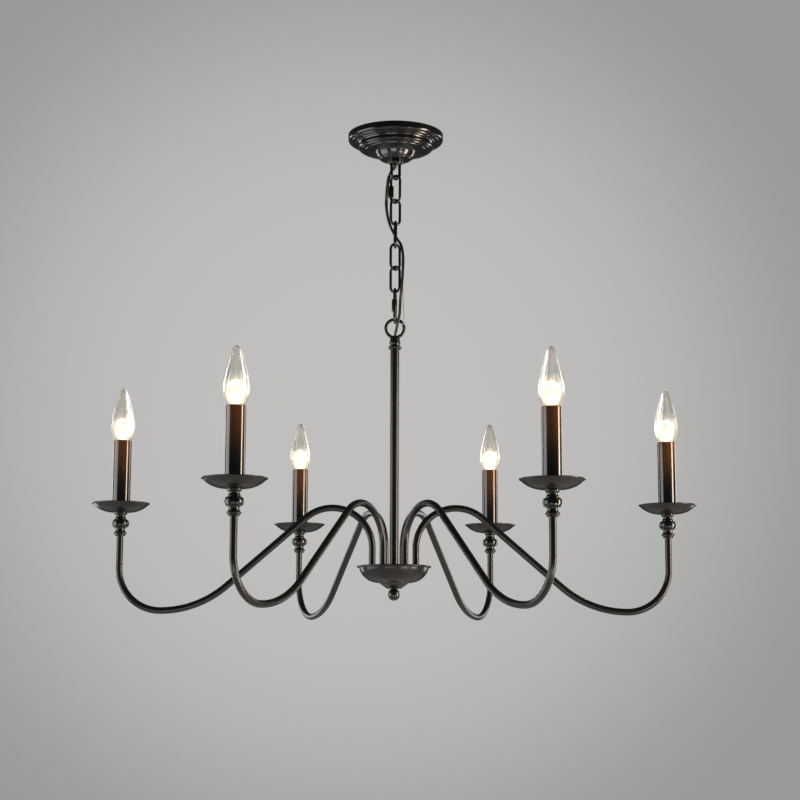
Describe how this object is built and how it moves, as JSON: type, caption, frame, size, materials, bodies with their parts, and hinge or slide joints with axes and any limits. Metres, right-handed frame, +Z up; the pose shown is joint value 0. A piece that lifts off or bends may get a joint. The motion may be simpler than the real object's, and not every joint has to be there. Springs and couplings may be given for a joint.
{
  "type": "multi arm chandelier",
  "caption": "Hanging candle chandelier with canopy, chain, central stem and S-bent arms carrying candle lamps.",
  "frame": {"origin": "centre of the ceiling crossbar's top face, on the ceiling plane", "axes": "+Z up into the ceiling, +X to the right along an opposite pair of arms, +Y to the back; the object hangs below the origin"},
  "size_m": [0.895, 0.8069, 0.7295],
  "materials": {
    "gloss_black": "glossy black enamel on steel",
    "satin_black": "satin black enamel on steel",
    "sleeve_black": "semi-gloss black enamel on steel tube",
    "zinc_steel": "zinc-plated steel",
    "cord_black": "black PVC insulation",
    "cord_clear": "clear PVC insulation over a fine tinned wire",
    "socket_black": "phenolic lamp socket",
    "connector_orange": "moulded twist-on wire connector",
    "bulb_glass": "clear glass, lit warm white"
  },
  "bodies": {
    "ceiling": {"crossbar": "zinc_steel", "nipple": "zinc_steel", "ceiling_fasteners": "zinc_steel", "canopy_loop": "gloss_black", "power_cord": "cord_black", "ground_wire": "cord_clear"},
    "canopy": {"canopy": "gloss_black", "collar_ring": "gloss_black"},
    "link_1": {"chain_link_1": "gloss_black"},
    "link_2": {"chain_link_2": "gloss_black"},
    "link_3": {"chain_link_3": "gloss_black"},
    "link_4": {"chain_link_4": "gloss_black"},
    "link_5": {"chain_link_5": "gloss_black"},
    "link_6": {"chain_link_6": "gloss_black"},
    "top_nut": {"top_link_nut": "gloss_black"},
    "low_nut": {"low_link_nut": "gloss_black"},
    "fixture": {"stem_loop": "gloss_black", "ground_screw": "zinc_steel", "stem_tube": "satin_black", "hub_plate": "zinc_steel", "hub_nuts": "zinc_steel", "wire_connectors": "connector_orange"},
    "cup": {"hub_cup": "satin_black", "finial": "gloss_black"},
    "arm_1": {"arm_tube_1": "satin_black", "arm_knob_1": "gloss_black", "drip_pan_1": "satin_black", "candle_sleeve_1": "sleeve_black", "lamp_socket_1": "socket_black"},
    "arm_2": {"arm_tube_2": "satin_black", "arm_knob_2": "gloss_black", "drip_pan_2": "satin_black", "candle_sleeve_2": "sleeve_black", "lamp_socket_2": "socket_black"},
    "arm_3": {"arm_tube_3": "satin_black", "arm_knob_3": "gloss_black", "drip_pan_3": "satin_black", "candle_sleeve_3": "sleeve_black", "lamp_socket_3": "socket_black"},
    "arm_4": {"arm_tube_4": "satin_black", "arm_knob_4": "gloss_black", "drip_pan_4": "satin_black", "candle_sleeve_4": "sleeve_black", "lamp_socket_4": "socket_black"},
    "arm_5": {"arm_tube_5": "satin_black", "arm_knob_5": "gloss_black", "drip_pan_5": "satin_black", "candle_sleeve_5": "sleeve_black", "lamp_socket_5": "socket_black"},
    "arm_6": {"arm_tube_6": "satin_black", "arm_knob_6": "gloss_black", "drip_pan_6": "satin_black", "candle_sleeve_6": "sleeve_black", "lamp_socket_6": "socket_black"},
    "lamp_1": {"bulb_1": "bulb_glass"},
    "lamp_2": {"bulb_2": "bulb_glass"},
    "lamp_3": {"bulb_3": "bulb_glass"},
    "lamp_4": {"bulb_4": "bulb_glass"},
    "lamp_5": {"bulb_5": "bulb_glass"},
    "lamp_6": {"bulb_6": "bulb_glass"}
  },
  "joints": [
    {"name": "loop_link_1_swing", "type": "hinge", "parent": "ceiling", "child": "link_1", "pos_m": [0, 0, -0.0687], "axis": [0.8387, 0.5446, 0], "range_deg": [-25, 25], "deforming": ["power_cord", "ground_wire"]},
    {"name": "link_1_link_2_swing", "type": "hinge", "parent": "link_1", "child": "link_2", "pos_m": [0, 0, -0.10625], "axis": [-0.848, 0.5299, 0], "range_deg": [-25, 25]},
    {"name": "link_2_link_3_swing", "type": "hinge", "parent": "link_2", "child": "link_3", "pos_m": [0, 0, -0.1411], "axis": [0.848, 0.5299, 0], "range_deg": [-25, 25]},
    {"name": "link_3_link_4_swing", "type": "hinge", "parent": "link_3", "child": "link_4", "pos_m": [0, 0, -0.17595], "axis": [-0.1045, 0.9945, 0], "range_deg": [-25, 25]},
    {"name": "link_4_link_5_swing", "type": "hinge", "parent": "link_4", "child": "link_5", "pos_m": [0, 0, -0.2108], "axis": [-0.848, -0.5299, 0], "range_deg": [-25, 25]},
    {"name": "link_5_link_6_swing", "type": "hinge", "parent": "link_5", "child": "link_6", "pos_m": [0, 0, -0.24565], "axis": [0.848, -0.5299, 0], "range_deg": [-25, 25]},
    {"name": "link_6_ring_swing", "type": "hinge", "parent": "link_6", "child": "fixture", "pos_m": [0, 0, -0.2926], "axis": [-0.1045, -0.9945, 0], "range_deg": [-25, 25]},
    {"name": "canopy_drop", "type": "slide", "parent": "ceiling", "child": "canopy", "axis": [0, 0, -1], "range_m": [0, 0.015]},
    {"name": "top_nut_screw", "type": "slide", "parent": "link_1", "child": "top_nut", "axis": [0, 0, 1], "range_m": [0, 0.0055]},
    {"name": "low_nut_screw", "type": "slide", "parent": "link_6", "child": "low_nut", "axis": [0, 0, 1], "range_m": [0, 0.008]},
    {"name": "cup_drop", "type": "slide", "parent": "fixture", "child": "cup", "axis": [0, 0, -1], "range_m": [0, 0.035]},
    {"name": "arm_1_swivel", "type": "hinge", "parent": "fixture", "child": "arm_1", "pos_m": [0.0322, 0, -0.665], "axis": [0, 0, 1], "range_deg": [-15, 15]},
    {"name": "arm_2_swivel", "type": "hinge", "parent": "fixture", "child": "arm_2", "pos_m": [0.01289, 0.02951, -0.665], "axis": [0, 0, 1], "range_deg": [-15, 15]},
    {"name": "arm_3_swivel", "type": "hinge", "parent": "fixture", "child": "arm_3", "pos_m": [-0.01289, 0.02951, -0.665], "axis": [0, 0, 1], "range_deg": [-15, 15]},
    {"name": "arm_4_swivel", "type": "hinge", "parent": "fixture", "child": "arm_4", "pos_m": [-0.0322, 0, -0.665], "axis": [0, 0, 1], "range_deg": [-15, 15]},
    {"name": "arm_5_swivel", "type": "hinge", "parent": "fixture", "child": "arm_5", "pos_m": [-0.0161, -0.02789, -0.665], "axis": [0, 0, 1], "range_deg": [-15, 15]},
    {"name": "arm_6_swivel", "type": "hinge", "parent": "fixture", "child": "arm_6", "pos_m": [0.0161, -0.02789, -0.665], "axis": [0, 0, 1], "range_deg": [-15, 15]},
    {"name": "lamp_1_unscrew", "type": "slide", "parent": "arm_1", "child": "lamp_1", "axis": [0, 0, 1], "range_m": [0, 0.03]},
    {"name": "lamp_2_unscrew", "type": "slide", "parent": "arm_2", "child": "lamp_2", "axis": [0, 0, 1], "range_m": [0, 0.03]},
    {"name": "lamp_3_unscrew", "type": "slide", "parent": "arm_3", "child": "lamp_3", "axis": [0, 0, 1], "range_m": [0, 0.03]},
    {"name": "lamp_4_unscrew", "type": "slide", "parent": "arm_4", "child": "lamp_4", "axis": [0, 0, 1], "range_m": [0, 0.03]},
    {"name": "lamp_5_unscrew", "type": "slide", "parent": "arm_5", "child": "lamp_5", "axis": [0, 0, 1], "range_m": [0, 0.03]},
    {"name": "lamp_6_unscrew", "type": "slide", "parent": "arm_6", "child": "lamp_6", "axis": [0, 0, 1], "range_m": [0, 0.03]}
  ]
}
